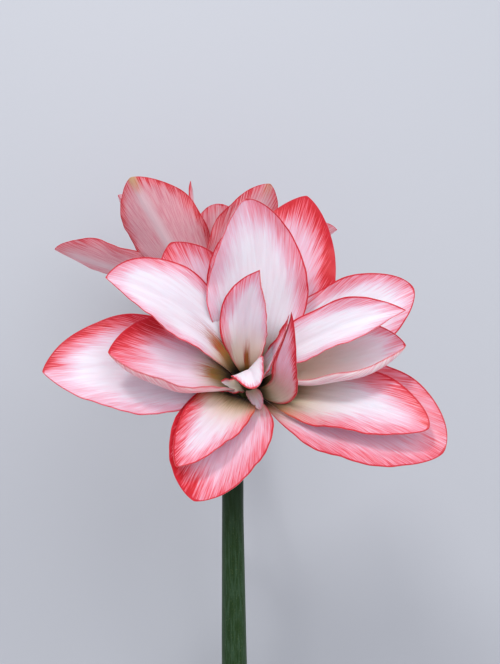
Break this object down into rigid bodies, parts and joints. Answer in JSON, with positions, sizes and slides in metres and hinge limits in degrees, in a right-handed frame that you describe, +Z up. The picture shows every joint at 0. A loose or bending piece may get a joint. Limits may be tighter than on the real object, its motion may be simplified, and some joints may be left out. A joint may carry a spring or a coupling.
{
  "type": "cut amaryllis",
  "caption": "Cut amaryllis stem laid down: a thick green hollow scape carrying open double flowers of long white petals edged and streaked in red.",
  "frame": {"origin": "middle of the bounding box, on the surface the flower lies on", "axes": "+Y from the cut end of the stem to the flowers, +X across, +Z up; the front flower looks up and a little towards +Y"},
  "size_m": [0.216, 0.4568, 0.2655],
  "materials": {
    "stem": "smooth waxy green scape, bluish on the lit side",
    "flower_base": "smooth yellow-green stalk, ovary and flower tube",
    "front_petals": "satin petal, white with a red edge and fine red streaks, gold in the throat",
    "rear_petals": "satin petal, rose lilac outside with a red edge and a pale midrib",
    "spathe_valve": "dry papery straw brown with fine lengthwise veins"
  },
  "bodies": {
    "root": {"stem": "stem", "front_flower_base": "flower_base", "rear_flower_base": "flower_base", "front_petaloid_folded": "front_petals", "front_petaloid_behind": "front_petals", "front_petaloid_upright": "front_petals", "front_petaloid_lobed": "front_petals", "front_petaloid_strap": "front_petals", "front_petal_right_inner": "front_petals", "front_petal_right_curled": "front_petals", "front_petal_left_curled": "front_petals", "front_petaloid_curl": "front_petals", "front_petal_top_inner": "front_petals", "front_petal_upper_left_inner": "front_petals", "front_petal_lower_right_inner": "front_petals", "front_petal_bottom_inner": "front_petals", "front_petal_top_left_inner": "front_petals", "front_petal_right_outer": "front_petals", "front_petal_bottom_outer": "front_petals", "front_petal_upper_left_outer": "front_petals", "front_petal_top_outer": "front_petals", "front_petal_lower_right_outer": "front_petals", "front_petal_left_outer": "front_petals", "rear_petaloid_thin": "rear_petals", "rear_petaloid_right": "rear_petals", "rear_petaloid_left": "rear_petals", "rear_petal_left_inner": "rear_petals", "rear_petal_right_inner": "rear_petals", "rear_petal_under_inner": "rear_petals", "rear_petal_top_inner": "rear_petals", "rear_petal_under_right_inner": "rear_petals", "rear_petal_under_left_inner": "rear_petals", "rear_petal_top_left_outer": "rear_petals", "rear_petal_right_outer": "rear_petals", "rear_petal_under_left_outer": "rear_petals", "rear_petal_left_outer": "rear_petals", "rear_petal_top_right_outer": "rear_petals", "rear_petal_under_right_outer": "rear_petals", "spathe_valve_right": "spathe_valve", "spathe_valve_left": "spathe_valve"}
  },
  "joints": []
}
